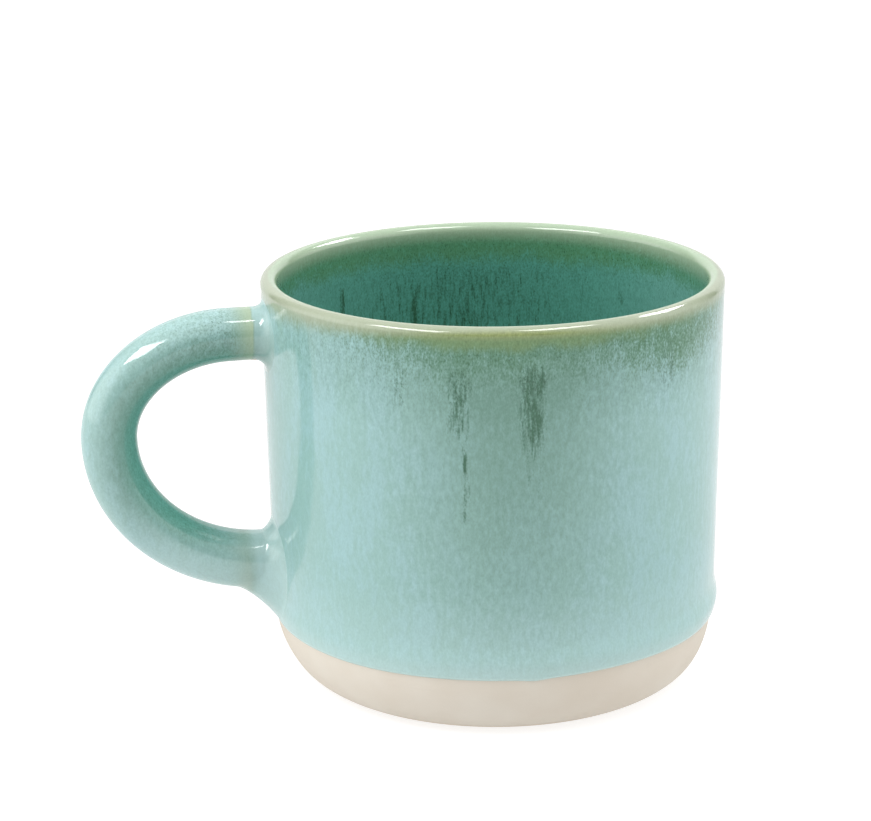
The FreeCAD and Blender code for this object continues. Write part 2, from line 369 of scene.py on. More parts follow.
CREAM = linear(159, 168, 145)
# Paler cream for the lip's inside and the handle's ends; on the lip's inside the paleness is painted
# light
PALE_CREAM_AND_PAINTED_LIGHT = linear(164, 184, 157)
CREAM_OLIVE = linear(138, 149, 100)
OLIVE = linear(103, 132, 90)
MOSS = linear(76, 121, 90)
SKY = linear(150, 186, 187)
SEAFOAM = linear(145, 181, 176)
GREY_GREEN = linear(103, 141, 128)
TEAL = linear(84, 149, 134)
INNER_MOSS = linear(86, 140, 104)
DARK_GREEN = linear(56, 98, 76)
# Pale pooled glaze; on the handle the same colour is also painted light
POOLED_AND_PAINTED_LIGHT = linear(179, 206, 203)
RAW_CLAY = linear(217, 210, 198)
CLAY_SHADE = linear(209, 199, 185)
CLAY_EDGE = linear(196, 176, 148)
SLIP_CLAY = linear(206, 190, 168)


class Tree:
    """Shader nodes of one material, with short calls for the nodes used here."""

    def __init__(self, name):
        """Starts a new material with its one Principled BSDF."""
        self.material = bpy.data.materials.new(name)
        self.material.use_nodes = True
        self.nodes = self.material.node_tree.nodes
        self.links = self.material.node_tree.links
        self.surface = self.nodes["Principled BSDF"]

    def plug(self, socket, value):
        """Joins a node's output to a socket, or sets the socket to a plain value."""
        if isinstance(value, bpy.types.NodeSocket):
            self.links.new(value, socket)
        else:
            socket.default_value = value

    def attribute(self, name):
        """A field painted on the mesh."""
        node = self.nodes.new("ShaderNodeAttribute")
        node.attribute_name = name
        return node.outputs["Fac"]

    def noise(self, size, detail=2.0, stretch=1.0):
        """Noise from 0 to 1 with features about size millimetres wide and stretch times as tall."""
        place = self.nodes.new("ShaderNodeTexCoord").outputs["Object"]
        scale = self.nodes.new("ShaderNodeVectorMath")
        scale.operation = "MULTIPLY"
        self.plug(scale.inputs[0], place)
        scale.inputs[1].default_value = (1 / size / MM, 1 / size / MM, 1 / (size * stretch) / MM)
        node = self.nodes.new("ShaderNodeTexNoise")
        self.plug(node.inputs["Vector"], scale.outputs[0])
        node.inputs["Scale"].default_value = 1.0
        node.inputs["Detail"].default_value = detail
        return node.outputs["Fac"]

    def maths(self, operation, first, second):
        """Result of a maths node over two sockets or numbers."""
        node = self.nodes.new("ShaderNodeMath")
        node.operation = operation
        self.plug(node.inputs[0], first)
        self.plug(node.inputs[1], second)
        return node.outputs[0]

    def add(self, first, *others):
        """Sum of two or more values."""
        for other in others:
            first = self.maths("ADD", first, other)
        return first

    def times(self, first, *others):
        """Product of two or more values."""
        for other in others:
            first = self.maths("MULTIPLY", first, other)
        return first

    def swing(self, texture, width):
        """A texture moved to swing about 0, over a range of about width."""
        return self.times(self.maths("SUBTRACT", texture, 0.5), width)

    def step(self, value, low, high):
        """Smooth step of value from low to high; low and high may be sockets."""
        node = self.nodes.new("ShaderNodeMapRange")
        node.interpolation_type = "SMOOTHSTEP"
        self.plug(node.inputs["Value"], value)
        self.plug(node.inputs["From Min"], low)
        self.plug(node.inputs["From Max"], high)
        return node.outputs[0]

    def ragged(self, name, texture, low, high, start):
        """A painted field broken up by a texture; it grows in as the field goes from 0 to start."""
        field = self.attribute(name)
        broken = self.step(self.add(field, texture), low, high)
        return self.times(broken, self.step(field, 0.0, start))

    def mix(self, share, first, second, blend="MIX"):
        """A share of the second colour laid over the first."""
        node = self.nodes.new("ShaderNodeMix")
        node.data_type = "RGBA"
        node.blend_type = blend
        self.plug(node.inputs["Factor"], share)
        self.plug(node.inputs["A"], first)
        self.plug(node.inputs["B"], second)
        return node.outputs["Result"]

    def shaded(self, colour, shade):
        """A colour multiplied by a plain value."""
        grey = self.nodes.new("ShaderNodeCombineColor")
        for socket in grey.inputs:
            self.plug(socket, shade)
        return self.mix(1.0, colour, grey.outputs[0], "MULTIPLY")

    def finish(self, colour, rough, height, depth_mm):
        """Joins colour, roughness and a bump of the given depth to the surface."""
        bump = self.nodes.new("ShaderNodeBump")
        bump.inputs["Strength"].default_value = 1.0
        bump.inputs["Distance"].default_value = depth_mm * MM
        self.plug(bump.inputs["Height"], height)
        self.plug(self.surface.inputs["Base Color"], colour)
        self.plug(self.surface.inputs["Roughness"], rough)
        self.plug(self.surface.inputs["Normal"], bump.outputs["Normal"])
        return self.material


def ground_colour(tree, fine, medium, streak):
    """Clouded blue to seafoam, greener or deeper where painted so (partly painted shade on the wall's
    camera side), pale where the glaze pools and as painted light on the handle.
    """
    blue = tree.add(tree.noise(9.0, 2, 1.8), tree.swing(medium, 0.9), tree.swing(streak, 0.5))
    colour = tree.mix(tree.step(blue, 0.25, 0.75), SKY, SEAFOAM)
    green = tree.attribute("green")
    uneven = tree.add(tree.swing(medium, 0.4), tree.swing(fine, 0.15))
    green = tree.add(green, tree.times(uneven, tree.step(green, 0.0, 0.3)))
    colour = tree.mix(green, colour, GREY_GREEN)
    colour = tree.mix(tree.attribute("inside"), colour, TEAL)
    # pooled glaze, and painted light on the handle
    return tree.mix(tree.attribute("pool"), colour, POOLED_AND_PAINTED_LIGHT)


def with_moss(tree, colour, fine, medium, streak):
    """The mossy green band, broken up at its lower edge."""
    texture = tree.add(tree.swing(streak, 0.25), tree.swing(medium, 0.6), tree.swing(fine, 1.0))
    moss = tree.ragged("moss", texture, 0.08, 1.0, 0.4)
    return tree.mix(moss, colour, tree.mix(tree.attribute("inside"), MOSS, INNER_MOSS))


def with_flecks(tree, colour):
    """Small dark flecks, more and darker where the painted speckle is high; on the far inner wall that
    speckle is partly painted shade.
    """
    speck = tree.attribute("speck")
    low = tree.maths("SUBTRACT", 0.84, tree.times(speck, 0.34))
    flecks = tree.step(tree.noise(0.26, 1, 1.8), low, tree.add(low, 0.12))
    strength = tree.times(flecks, tree.add(0.25, tree.times(speck, 0.55)))
    return tree.mix(strength, colour, DARK_GREEN)


def with_runs(tree, colour, fine):
    """Dark runs drawn out into upright strokes; on the far inner wall the strokes are partly painted
    shade.
    """
    strokes = tree.add(tree.swing(tree.noise(0.55, 3, 7.0), 2.4), tree.swing(fine, 0.9))
    return tree.mix(tree.ragged("flow", strokes, 0.15, 1.25, 0.3), colour, DARK_GREEN)


def with_lip(tree, colour, medium):
    """Olive where the glaze thins below the lip, and cream where it breaks over the lip; the paler cream
    on the lip's inside is painted light.
    """
    olive = tree.ragged("olive", tree.swing(medium, 0.5), 0.0, 1.0, 0.2)
    colour = tree.mix(olive, colour, OLIVE)
    colour = tree.mix(tree.attribute("thin"), colour, CREAM_OLIVE)
    # painted light: the inside of the lip takes the paler cream
    cream = tree.mix(tree.attribute("inside"), CREAM, PALE_CREAM_AND_PAINTED_LIGHT)
    return tree.mix(tree.attribute("lip"), colour, cream)


def with_mottle(tree, colour, fine, medium):
    """Light and dark mottle, stronger inside and in the speckle but not on the cream lip."""
    mottle = tree.add(tree.swing(fine, -0.14), tree.swing(medium, -0.07))
    inside = tree.times(tree.attribute("inside"), 3.5)
    speckled = tree.times(tree.attribute("speck"), 4.5)
    strong = tree.maths("MAXIMUM", inside, speckled)
    strong = tree.times(strong, tree.maths("SUBTRACT", 1.0, tree.attribute("lip")))
    return tree.shaded(colour, tree.add(1.0, tree.times(mottle, tree.add(1.0, strong))))


def glaze_material(name):
    """Glossy reactive glaze. Painted fields say where it is thin, mossy, speckled, deep or pooled, and
    where painted light and painted shade fall.
    """
    tree = Tree(name)
    fine = tree.noise(0.30, 1, 1.7)
    medium = tree.noise(0.8, 2, 2.2)
    streak = tree.noise(2.2, 3, 6.0)
    colour = ground_colour(tree, fine, medium, streak)
    colour = with_moss(tree, colour, fine, medium, streak)
    colour = with_flecks(tree, colour)
    colour = with_runs(tree, colour, fine)
    colour = with_lip(tree, colour, medium)
    colour = with_mottle(tree, colour, fine, medium)
    tree.surface.inputs["IOR"].default_value = 1.52
    rough = tree.add(0.05, tree.times(streak, 0.06))
    height = tree.add(tree.noise(5.0, 2, 1.5), tree.times(fine, 0.04))
    return tree.finish(colour, rough, height, 0.05)


def clay_material(name, light, shade):
    """Matte fired stoneware with fine grain and faint turning lines, darker and browner where the edge
    field is painted along the foot's bottom edge.
    """
    tree = Tree(name)
    grain = tree.noise(0.25, 3)
    turning = tree.noise(30.0, 4, 0.02)
    colour = tree.mix(tree.step(tree.noise(16.0, 3), 0.2, 0.8), light, shade)
    colour = tree.mix(tree.attribute("edge"), colour, CLAY_EDGE)
    fleck = tree.step(tree.noise(0.35, 1), 0.80, 0.86)
    colour = tree.mix(tree.times(fleck, 0.35), colour, CLAY_EDGE)
    colour = tree.shaded(colour, tree.add(0.975, tree.times(grain, 0.05)))
    tree.surface.inputs["Specular IOR Level"].default_value = 0.25
    rough = tree.add(0.72, tree.times(grain, 0.2))
    return tree.finish(colour, rough, tree.add(grain, turning), 0.03)


# ---------------------------------------------------------------- painted fields of the glaze
# Sides of the mug, each as direction in degrees, width and height of a soft hump
BARE_SIDES = [(-99, 31, 1.0), (18, 30, 1.0), (104, 28, 0.8)]           # thin glaze under the lip
# painted light: the cream of the lip reaches further down on the lit side near -168 degrees
PAINTED_LIGHT_LIP_SIDE = [(-168, 26, 1.0)]
MOSSY_SIDES = [(-104, 30, 0.60), (-54, 26, 0.50), (14, 34, 0.55), (100, 36, 0.50)]
DENSE_SIDES = [(-50, 22, 1.0), (20, 18, 1.0)]                          # longer and sharper moss
SHORT_SIDE = [(-78, 10, 1.0)]                                          # shorter moss
# Green humps are partly the glaze's own colour and partly painted shade: those at -98 and -95 degrees
# darken the wall where it faces the camera
LONG_GREEN_AND_SHADE_SIDES = [(-98, 25, 1.0), (15, 26, 0.7), (100, 26, 0.6)]     # green far down the wall
SHORT_GREEN_AND_SHADE_SIDES = [(-148, 24, 0.2), (-95, 56, 0.3), (-50, 24, 0.25), (15, 40, 0.3), (100, 40, 0.24)]
# Sides of the inner wall that get painted light: less teal and moss, and a deeper cream lip
INNER_PAINTED_LIGHT_SIDES = [(8, 28, 1.0), (155, 30, 0.6)]
# Far inner wall, facing the camera, that gets painted shade
INNER_PAINTED_SHADE_SIDE = [(85, 34, 1.0)]

RAGGED_SWING = 1.4                     # rise and fall of the moss band's edge
MOSS_REACH = 9.0                       # depth below the lip at which the moss is half gone
MOSS_FADE = 8.5                        # half the depth over which it fades
LONG_GREEN_DEPTH = 72                  # the long green has gone this far below the lip

# Paler glaze towards the wall's lower edge: heights above it where it starts and is full, share
POOL_BANDS = [(20.0, 4.0, 0.25), (5.0, 0.5, 0.45), (1.0, 0.3, 0.3)]


def sides(angle, humps):
    """Sum of soft humps round the mug."""
    total = 0
    for degrees, width, height in humps:
        turn = np.degrees(np.arccos(np.clip(np.cos(angle - math.radians(degrees)), -1, 1)))
        total = total + height * np.exp(-(turn / width) ** 2)
    return total


def wall_fields(points):
    """Looks of the outside glaze by height and direction."""
    angle = np.arctan2(points[:, 1], points[:, 0])
    z = points[:, 2]
    depth = HEIGHT - z
    above = z - glaze_line(angle)
    ragged = depth + RAGGED_SWING * lumps(angle, z, RAGGED_WAVES, 6)
    bare = np.clip(sides(angle, BARE_SIDES), 0, 1)
    cover = 0.18 + sides(angle, MOSSY_SIDES)
    dense = sides(angle, DENSE_SIDES)
    reach = MOSS_REACH + 3.0 * dense - 1.5 * sides(angle, SHORT_SIDE)
    fade = MOSS_FADE - 3.5 * dense
    # painted shade in part: the green humps facing the camera darken the front of the wall
    long_green = sides(angle, LONG_GREEN_AND_SHADE_SIDES) * np.clip(1 - (depth / LONG_GREEN_DEPTH) ** 2, 0, 1)
    short_green = sides(angle, SHORT_GREEN_AND_SHADE_SIDES) * smooth(22, 7, depth)
    flow = runs(angle, z, OUTSIDE_RUNS)
    return dict(
        # painted light widens the cream lip on its lit side
        lip=smooth(4.0 - 3.0 * bare + 2.5 * sides(angle, PAINTED_LIGHT_LIP_SIDE), 0.0, depth),
        thin=smooth(3.4 - 0.8 * bare, 0.9, depth) * (0.4 + 0.6 * bare),
        olive=smooth(5.6, 2.2, ragged) * (0.35 + 0.65 * bare),
        moss=cover * smooth(reach + fade, reach - fade - 1, ragged),
        speck=smooth(reach + 15, 2, ragged) * (0.40 + 0.35 * cover) + 0.4 * flow + 0.10,
        flow=flow,
        green=np.maximum(0.95 * long_green + short_green, flow),
        inside=0 * z,
        pool=sum(share * smooth(start, full, above) for start, full, share in POOL_BANDS),
    )


def liner_fields(points):
    """Looks of the inside glaze: a mossy band under the lip, deep teal below it, with painted light on
    two sides and painted shade on the far wall.
    """
    angle = np.arctan2(points[:, 1], points[:, 0])
    z = points[:, 2]
    depth = HEIGHT - z
    ragged = depth + RAGGED_SWING * lumps(angle, z, RAGGED_WAVES, 16)
    # painted light: on these sides the inner wall has less teal and moss and a deeper cream lip
    light = sides(angle, INNER_PAINTED_LIGHT_SIDES)
    # painted shade: more flecks and dark strokes on the far inner wall
    dark = sides(angle, INNER_PAINTED_SHADE_SIDE) * smooth(6, 12, depth) * smooth(66, 45, depth)
    return dict(
        lip=smooth(4.4 + light, 0.5, depth),
        thin=0 * z,
        olive=0.15 * smooth(5.0, 2.0, depth),
        moss=0.20 * (1 - light) + 0.75 * smooth(10.0, 4.5, ragged),
        # painted shade raises the flecks and the dark strokes on the far inner wall
        speck=smooth(18.0, 5.0, ragged) * 0.35 + 0.40 + 0.15 * dark,
        flow=runs(angle, z, INSIDE_RUNS) + 0.45 * dark,
        green=0 * z,
        inside=1 - 0.24 * light * smooth(1.0, 4.0, depth),
        pool=0 * z,
    )


# ---------------------------------------------------------------- the cup's pieces
def recess_points():
    """The underside from its centre to the foot ring, over the recess's soft edge."""
    recess = [(r, RECESS_DEPTH) for r in np.linspace(0, RECESS_RADIUS - 0.5, 20)]
    edge = [(RECESS_RADIUS - 0.15, RECESS_DEPTH - 0.08), (RECESS_RADIUS, RECESS_DEPTH - 0.25),
            (RECESS_RADIUS + 0.05, 0.2)]
    ring = [(r, 0.0) for r in np.linspace(RECESS_RADIUS + 0.3, FOOT[0], 6)[:-1]]
    return recess + edge + ring


def clay_cup():
    """The raw clay cup, seen only below the glaze line."""
    foot_arc = arc_points(FOOT, FOOT_CURVE_RADIUS, -math.pi / 2, MEET_ANGLE, 24)
    belly_arc = arc_points(BELLY, BELLY_CURVE_RADIUS, MEET_ANGLE, -WALL_LEAN, 30)
    wall = [(wall_radius(z) - GLAZE, z) for z in np.linspace(BELLY_Z, HEIGHT - 2, 30)[1:]]
    profile = recess_points() + foot_arc + belly_arc[1:] + wall
    profile += lip_points(GLAZE, 12) + inside_points(GLAZE, HEIGHT - 4, 60)
    grid = turned(profile, columns_around())
    drift = FOOT_DRIFT * smooth(12, 3, grid[..., 2])
    grid[..., 0] += drift * math.cos(FOOT_DRIFT_ANGLE)
    grid[..., 1] += drift * math.sin(FOOT_DRIFT_ANGLE)
    piece = skin("clay_cup", grid, True)
    points = points_of(piece)
    outside = np.hypot(points[:, 0], points[:, 1]) > FOOT[0] - 1
    paint(piece, edge=0.8 * outside * smooth(2.2, 0.4, points[:, 2]))
    return piece


def wall_glaze():
    """The outside coat from the rim glaze down to its thick wavy lower edge."""
    angles = columns_around()
    line = glaze_line(angles)
    share = np.linspace(0, 1, WALL_ROWS) ** 1.6
    z = line[None, :] + (RIM_SPLIT_OUTSIDE - line[None, :]) * share[:, None]
    outer = wall_surface(angles[None, :] + 0 * z, z)
    back = z[::-HIDDEN_ROW_STEP]
    radius = clay_radius(back) - HIDDEN_INSET
    inner = np.stack([radius * np.cos(angles), radius * np.sin(angles), back], axis=-1)
    piece = skin("glaze_wall", np.concatenate([outer, inner]), False)
    paint(piece, **wall_fields(points_of(piece)))
    return piece


def rim_glaze():
    """The coat over the lip, whose looks change from the wall's to the liner's over the crest."""
    edge_z = HEIGHT - 1.9
    outside = [(wall_radius(z), z) for z in np.linspace(RIM_SPLIT_OUTSIDE, edge_z, 12)]
    inside = [(MOUTH_INSIDE, z) for z in np.linspace(edge_z, RIM_SPLIT_INSIDE, 14)]
    hidden = [(MOUTH_INSIDE + GLAZE, RIM_SPLIT_INSIDE)] + lip_points(GLAZE, 12)[::-1]
    hidden += [(wall_radius(RIM_SPLIT_OUTSIDE) - GLAZE, RIM_SPLIT_OUTSIDE)]
    profile = outside + lip_points(0, 28)[1:-1] + inside + hidden
    piece = skin("glaze_rim", turned(profile, columns_around()), False)
    points = points_of(piece)
    outer = wall_fields(points)
    inner = liner_fields(points)
    middle = (MOUTH_RADIUS + MOUTH_INSIDE) / 2
    share = smooth(middle + 0.4, middle - 0.4, np.hypot(points[:, 0], points[:, 1]))
    paint(piece, **{key: outer[key] * (1 - share) + inner[key] * share for key in outer})
    return piece


def liner_glaze():
    """The inside coat, closed at the floor's centre on both its faces."""
    surface = inside_points(0, RIM_SPLIT_INSIDE, 120)
    hidden = inside_points(GLAZE, RIM_SPLIT_INSIDE, 24)
    piece = skin("glaze_liner", turned(surface[::-1] + hidden, columns_around()), True)
    paint(piece, **liner_fields(points_of(piece)))
    return piece


# ---------------------------------------------------------------- the handle
def loop_path():
    """Centreline of the handle from wall to wall: distance along it, reach and height."""
    stub = np.linspace(wall_radius(UPPER_Z), UPPER_BEND_REACH, 20)[:-1]
    turn = np.linspace(0, math.pi / 2, 80)
    upper_reach = UPPER_BEND_REACH + (LOOP_REACH - UPPER_BEND_REACH) * np.sin(turn)
    upper_z = LOOP_MIDDLE_Z + (UPPER_Z - LOOP_MIDDLE_Z) * np.cos(turn)
    back = turn[::-1][1:]
    lower_reach = LOWER_BEND_REACH + (LOOP_REACH - LOWER_BEND_REACH) * np.sin(back)
    lower_z = LOOP_MIDDLE_Z + (LOWER_Z - LOOP_MIDDLE_Z) * np.cos(back)
    end = np.linspace(LOWER_BEND_REACH, wall_radius(LOWER_Z), 8)[1:]
    reach = np.concatenate([stub, upper_reach, lower_reach, end])
    z = np.concatenate([0 * stub + UPPER_Z, upper_z, lower_z, 0 * end + LOWER_Z])
    length = np.concatenate([[0], np.cumsum(np.hypot(np.diff(reach), np.diff(z)))])
    return length, reach, z


PATH_LENGTH, PATH_REACH, PATH_Z = loop_path()
LOOP_LENGTH = PATH_LENGTH[-1]


def rod_frame(distance):
    """Centre of the rod and the loop's outward normal at a distance along the handle."""
    def centre(d):
        """Point of the centreline."""
        return np.stack([-np.interp(d, PATH_LENGTH, PATH_REACH), 0 * d,
                         np.interp(d, PATH_LENGTH, PATH_Z)], axis=-1)
    nudge = 0.4
    ahead = centre(np.minimum(distance + nudge, LOOP_LENGTH))
    behind = centre(np.maximum(distance - nudge, 0))
    along = ahead - behind
    along /= np.linalg.norm(along, axis=-1, keepdims=True)
    outward = np.stack([along[..., 2], 0 * distance, -along[..., 0]], axis=-1)
    return centre(distance), outward


def rod_point(distance, turn, inset=0.0):
    """A point of the rod's surface; turn 0 is the loop's outer side."""
    distance = distance + 0 * turn
    centre, outward = rod_frame(distance)
    radius = ROD_TOP + (ROD_BOTTOM - ROD_TOP) * distance / LOOP_LENGTH - inset
    across = np.array([0, 1.0, 0])
    return (centre + (radius * np.cos(turn))[..., None] * outward
            + (radius * np.sin(turn))[..., None] * across)


def by_side(turn, outer, side, inner):
    """A width that changes round the rod from the loop's outer side to its inner side."""
    ends = np.where(np.cos(turn) > 0, outer, inner)
    return side + (ends - side) * np.cos(turn) ** 2


class Root:
    """One end of the handle: where it meets the wall and how its fillet is shaped."""

    def __init__(self, distance, up, rod_widths, wall_widths, pull):
        """Widths are for the loop's outer side, its flanks and its inner side.

        up is 1 where the loop's outer side is above and -1 where it is below. pull, from 0 to 1,
        draws the fillet into the corner.
        """
        self.distance = distance
        self.up = up
        self.rod_widths = rod_widths
        self.wall_widths = wall_widths
        self.pull = pull


UPPER_ROOT = Root(0.0, 1, (2.0, 2.6, 2.6), (1.2, 2.6, 2.6), 0.55)
LOWER_ROOT = Root(LOOP_LENGTH, -1, (7.8, 3.0, 2.4), (6.9, 3.4, 2.6), 0.34)


def fillet_rows(root, turn):
    """Rows of points from the rod, through the fillet, to just inside the wall."""
    inward = -1 if root.distance == 0 else 1
    rod_width = by_side(turn, *root.rod_widths)
    wall_width = by_side(turn, *root.wall_widths)
    start = rod_point(root.distance - inward * rod_width, turn)
    end = rod_point(root.distance + 0 * turn, turn)
    angle = np.pi - np.arcsin(np.clip(end[:, 1] / wall_radius(end[:, 2]), -1, 1))
    corner = wall_surface(angle, end[:, 2])
    sweep = -np.sin(turn) / wall_radius(end[:, 2])
    rise = root.up * np.cos(turn)

    def on_wall(width):
        """Points of the wall this far from the rod's own outline."""
        return wall_surface(angle + sweep * width, end[:, 2] + rise * width)

    foot = on_wall(wall_width)
    back = on_wall(wall_width - 0.2) - foot
    back /= np.linalg.norm(back, axis=1, keepdims=True)
    first = start + (corner - start) * root.pull
    second = foot + back * (np.linalg.norm(corner - foot, axis=1) * root.pull)[:, None]
    rows = []
    for t in np.linspace(0, 1, FILLET_ROWS):
        rows.append((1 - t) ** 3 * start + 3 * t * (1 - t) ** 2 * first
                    + 3 * t * t * (1 - t) * second + t ** 3 * foot)
    tail = on_wall(wall_width + 0.4)
    rows.append(tail + 0.35 * np.array([1.0, 0, 0]))
    return rows


def handle_glaze():
    """The coat round the rod with its pooled fillets at both roots."""
    turn = np.linspace(0, 2 * math.pi, ROD_SIDES, endpoint=False)
    upper = fillet_rows(UPPER_ROOT, turn)
    lower = fillet_rows(LOWER_ROOT, turn)
    start = by_side(turn, *UPPER_ROOT.rod_widths)
    end = LOOP_LENGTH - by_side(turn, *LOWER_ROOT.rod_widths)
    middle = [rod_point(start + (end - start) * t, turn) for t in np.linspace(0, 1, ROD_ROWS)[1:-1]]
    hidden = [rod_point(LOOP_LENGTH * t + 0 * turn, turn, GLAZE) for t in np.linspace(1, 0, 60)]
    piece = skin("glaze_handle", np.array(upper[::-1] + middle + lower + hidden), False)
    paint(piece, **handle_fields(points_of(piece)))
    return piece


def places_on_rod(points):
    """Distance along the handle, and how far towards the loop's inner side, -1 to 1."""
    reach, z = -points[:, 0], points[:, 2]
    path = np.stack([PATH_REACH, PATH_Z], axis=1)[::2]
    flat = np.stack([reach, z], axis=1)
    nearest = np.argmin(((flat[:, None, :] - path[None, :, :]) ** 2).sum(axis=2), axis=1) * 2
    distance = PATH_LENGTH[nearest]
    _, outward = rod_frame(distance)
    from_centre = outward[:, 0] * (PATH_REACH[nearest] - reach) + outward[:, 2] * (z - PATH_Z[nearest])
    return distance, -from_centre / ROD_BOTTOM


def handle_fields(points):
    """Looks of the handle: speckled upper arm, green inner side, olive rod ends, pooled fillets, and
    painted light that pales the lower arm and the loop's outer side.
    """
    distance, inner = places_on_rod(points)
    upper = distance < LOOP_LENGTH / 2
    from_wall = -points[:, 0] - wall_radius(points[:, 2])
    crease = np.where(upper, UPPER_CREASE, LOWER_CREASE)
    blur = np.where(upper, 0.15, 1.3)
    root = smooth(crease + blur, crease - blur, from_wall)
    rod = 1 - root
    # painted shade: a thin dark line of moss and teal in the crease where the rod meets its fillet
    groove_shade = np.exp(-((from_wall - crease - 0.15) / 0.3) ** 2)
    groove_shade = groove_shade * (distance < 12) * smooth(-0.4, 0.8, inner)
    ends = smooth(crease + 7.0, crease, from_wall) ** 2 * rod * np.where(upper, 1.0, 0.45)
    arm = smooth(36, 6, distance)
    dusk = smooth(-0.5, 0.95, inner)
    # painted light: the lower arm is painted paler and less green
    painted_light_lower_arm = smooth(48, 72, distance) * (1 - dusk)
    lower_end = smooth(crease + 14.0, crease + 2.0, from_wall) * (1 - upper)
    moss = 0.04 + 0.20 * arm + 0.12 * dusk * smooth(12, 40, distance)
    green = (0.10 + 0.78 * smooth(-1.0, 0.5, inner)) * (1 - 0.9 * painted_light_lower_arm)
    deep = 0.85 * smooth(-0.1, 0.9, inner) * rod * (1 - ends) * (1 - 0.8 * lower_end)
    # painted light on the lower arm and painted reflection along the loop's outer side, in the pooled
    # colour
    painted_light = np.maximum(0.6 * painted_light_lower_arm, 0.3 * smooth(0.2, -0.9, inner)) * rod
    return dict(
        lip=ends * (1 - 0.35 * dusk),
        thin=0 * distance,
        olive=(0.08 + 0.32 * dusk) * ends * upper,
        moss=np.maximum(moss, 0.5 * groove_shade) * rod,
        speck=(0.12 + 0.50 * arm) * rod * (1 - ends) + 0.02,
        flow=0 * distance,
        green=green * (1 - 0.5 * ends) * (1 - 0.7 * lower_end),
        inside=np.maximum(np.maximum(deep, 0.5 * groove_shade), np.where(upper, 1.0, 0.4) * ends),
        pool=np.maximum(np.where(upper, 0.45, 0.65) * root, painted_light),
    )


# ---------------------------------------------------------------- studio
CAMERA_AIM_M = Vector((-0.01031, 0.00559, 0.05187))
CAMERA_DISTANCE_M = 0.55
CAMERA_AZIMUTH = math.radians(-12.0)
CAMERA_ELEVATION = math.radians(16.32)
CAMERA_ROLL = 0.01                     # in radians
CAMERA_LENS = 114.98
FLOOR_HALF_M = 3.0
FLOOR_GREY = 0.35
FLOOR_GLOW = 0.58                      # how much the floor glows on the mug
FLOOR_CAMERA_GLOW = 0.20               # and how much more for the camera
LIGHT_AIM_M = Vector((0, 0, 0.045))
SOFT_DISTANCE_M = 1.0
SHINE_DISTANCE_M = 0.97
SOFTBOX_HEIGHT_M = 0.24

# Glowing walls and ceiling: azimuth from the camera, elevation, the cosines between which the
# glow fades in, strength
WORLD_WALLS = [
    (-80, 0, 0.60, 0.97, 2.5),
    (82, 0, 0.55, 0.97, 1.75),
    (180, 0, 0.74, 0.80, 1.0),
    (0, 90, 0.20, 0.90, 1.3),
]

# Window lights: name, azimuth, elevation, width in metres, soft watts, shine watts
SOFTBOXES = [
    ("softbox_left", -64, 48, 0.55, 2.1, 6.0),
    ("softbox_right", 44, 67, 0.42, 1.7, 4.4),
    ("softbox_back", 112, 45, 0.40, 0.1, 4.4),
]


def towards(azimuth, elevation):
    """Unit vector from the mug towards a place round it, in radians; azimuth 0 is the -Y side."""
    level = math.cos(elevation)
    return Vector((math.sin(azimuth) * level, -math.cos(azimuth) * level, math.sin(elevation)))


def add_camera():
    """The camera at the photograph's angle."""
    data = bpy.data.cameras.new("camera")
    data.lens = CAMERA_LENS
    data.sensor_width = 36.0
    data.clip_start = 0.01
    data.clip_end = 50.0
    camera = bpy.data.objects.new("camera", data)
    bpy.context.scene.collection.objects.link(camera)
    back = towards(CAMERA_AZIMUTH, CAMERA_ELEVATION)
    turn = (-back).to_track_quat("-Z", "Y").to_matrix().to_4x4() @ Matrix.Rotation(-CAMERA_ROLL, 4, "Z")
    camera.matrix_world = Matrix.Translation(CAMERA_AIM_M + back * CAMERA_DISTANCE_M) @ turn
    bpy.context.scene.camera = camera


def add_lamp(name, back, distance, width, watts):
    """A rectangular lamp at a distance along back, turned to face the mug."""
    data = bpy.data.lights.new(name, "AREA")
    data.shape = "RECTANGLE"
    data.size = width
    data.size_y = SOFTBOX_HEIGHT_M
    data.energy = watts
    light = bpy.data.objects.new(name, data)
    bpy.context.scene.collection.objects.link(light)
    light.location = LIGHT_AIM_M + back * distance
    light.rotation_mode = "QUATERNION"
    light.rotation_quaternion = back.to_track_quat("Z", "Y")
    return light


def add_softbox(name, azimuth, elevation, width, soft_watts, shine_watts):
    """A window light: one lamp for its soft light and, just before it, one seen only in reflections."""
    back = towards(math.radians(azimuth), math.radians(elevation))
    soft = add_lamp(f"{name}_soft", back, SOFT_DISTANCE_M, width, soft_watts)
    soft.visible_glossy = False
    shine = add_lamp(f"{name}_shine", back, SHINE_DISTANCE_M, width, shine_watts)
    shine.visible_diffuse = False


def wall_glow(nodes, links, azimuth, elevation, low, high, strength):
    """Glow of one studio wall, full where a ray looks straight at it."""
    dot = nodes.new("ShaderNodeVectorMath")
    dot.operation = "DOT_PRODUCT"
    links.new(nodes.new("ShaderNodeTexCoord").outputs["Generated"], dot.inputs[0])
    middle = towards(CAMERA_AZIMUTH + math.radians(azimuth), math.radians(elevation))
    dot.inputs[1].default_value = middle
    ramp = nodes.new("ShaderNodeMapRange")
    ramp.interpolation_type = "SMOOTHSTEP"
    ramp.inputs["From Min"].default_value = low
    ramp.inputs["From Max"].default_value = high
    ramp.inputs["To Max"].default_value = strength
    links.new(dot.outputs["Value"], ramp.inputs["Value"])
    return ramp.outputs[0]


def joined(nodes, links, operation, first, second):
    """Result of a maths node over two sockets or numbers."""
    node = nodes.new("ShaderNodeMath")
    node.operation = operation
    for place, value in zip(node.inputs, (first, second)):
        if isinstance(value, float):
            place.default_value = value
        else:
            links.new(value, place)
    return node.outputs[0]


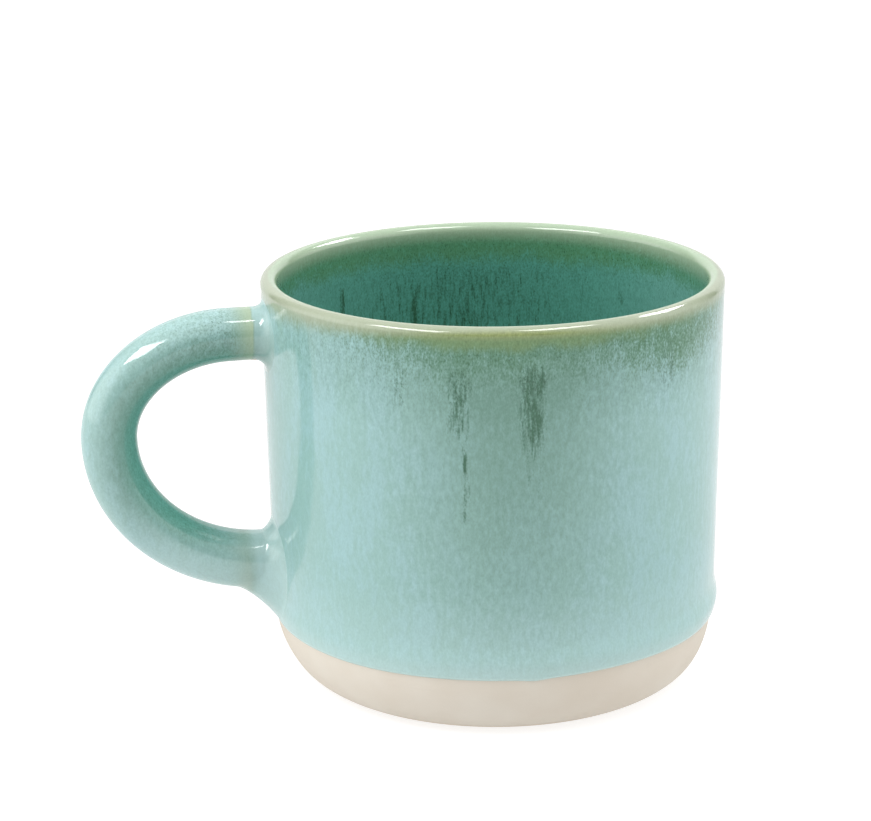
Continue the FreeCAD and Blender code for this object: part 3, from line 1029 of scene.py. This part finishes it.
def add_world():
    """White walls glowing at both sides, behind and above the mug; the camera sees plain white."""
    world = bpy.data.worlds.new("studio")
    world.use_nodes = True
    bpy.context.scene.world = world
    nodes = world.node_tree.nodes
    links = world.node_tree.links
    glow = 0.0
    for wall in WORLD_WALLS:
        glow = joined(nodes, links, "ADD", glow, wall_glow(nodes, links, *wall))
    camera_ray = nodes.new("ShaderNodeLightPath").outputs["Is Camera Ray"]
    unseen = joined(nodes, links, "SUBTRACT", 1.0, camera_ray)
    glow = joined(nodes, links, "MULTIPLY", unseen, glow)
    background = nodes["Background"]
    links.new(joined(nodes, links, "ADD", glow, camera_ray), background.inputs["Strength"])
    background.inputs["Color"].default_value = (1.0, 1.0, 1.0, 1.0)


def floor_material():
    """Pale glowing grey from above, clear from below."""
    tree = Tree("floor_white")
    camera_ray = tree.nodes.new("ShaderNodeLightPath").outputs["Is Camera Ray"]
    tree.surface.inputs["Base Color"].default_value = (FLOOR_GREY, FLOOR_GREY, FLOOR_GREY, 1)
    tree.surface.inputs["Roughness"].default_value = 1.0
    tree.surface.inputs["Specular IOR Level"].default_value = 0.0
    tree.surface.inputs["Emission Color"].default_value = (1, 1, 1, 1)
    glow = tree.add(FLOOR_GLOW, tree.times(camera_ray, FLOOR_CAMERA_GLOW))
    tree.plug(tree.surface.inputs["Emission Strength"], glow)
    clear = tree.nodes.new("ShaderNodeBsdfTransparent")
    below = tree.nodes.new("ShaderNodeNewGeometry").outputs["Backfacing"]
    blend = tree.nodes.new("ShaderNodeMixShader")
    for socket, source in zip(blend.inputs, (below, tree.surface.outputs[0], clear.outputs[0])):
        tree.links.new(source, socket)
    tree.links.new(blend.outputs[0], tree.nodes["Material Output"].inputs["Surface"])
    return tree.material


def add_floor():
    """The plain floor that the mug stands on."""
    mesh = bpy.data.meshes.new("floor")
    half = FLOOR_HALF_M
    corners = [(-half, -half, 0), (half, -half, 0), (half, half, 0), (-half, half, 0)]
    mesh.from_pydata(corners, [], [(0, 1, 2, 3)])
    mesh.materials.append(floor_material())
    floor = bpy.data.objects.new("floor", mesh)
    bpy.context.scene.collection.objects.link(floor)


def add_studio():
    """World, floor, lights and camera."""
    add_world()
    add_floor()
    for softbox in SOFTBOXES:
        add_softbox(*softbox)
    bpy.context.scene.view_settings.view_transform = "Standard"
    add_camera()


# ---------------------------------------------------------------- assembly
def build():
    """Makes every piece and gives the hidden CAD pieces their clay."""
    coat = glaze_material("reactive_glaze")
    raw = clay_material("raw_stoneware", RAW_CLAY, CLAY_SHADE)
    slip = clay_material("luting_slip", SLIP_CLAY, SLIP_CLAY)
    finish_piece(clay_cup(), raw, "stoneware_cup")
    finish_piece(wall_glaze(), coat, "wall_glaze")
    finish_piece(rim_glaze(), coat, "rim_glaze")
    finish_piece(liner_glaze(), coat, "liner_glaze")
    finish_piece(handle_glaze(), coat, "handle_glaze")
    hidden = {"stoneware_handle": raw, "upper_joint_slip": slip, "lower_joint_slip": slip}
    for node, material in hidden.items():
        frame["nodes"][node].material_slots[0].material = material


build()
add_studio()
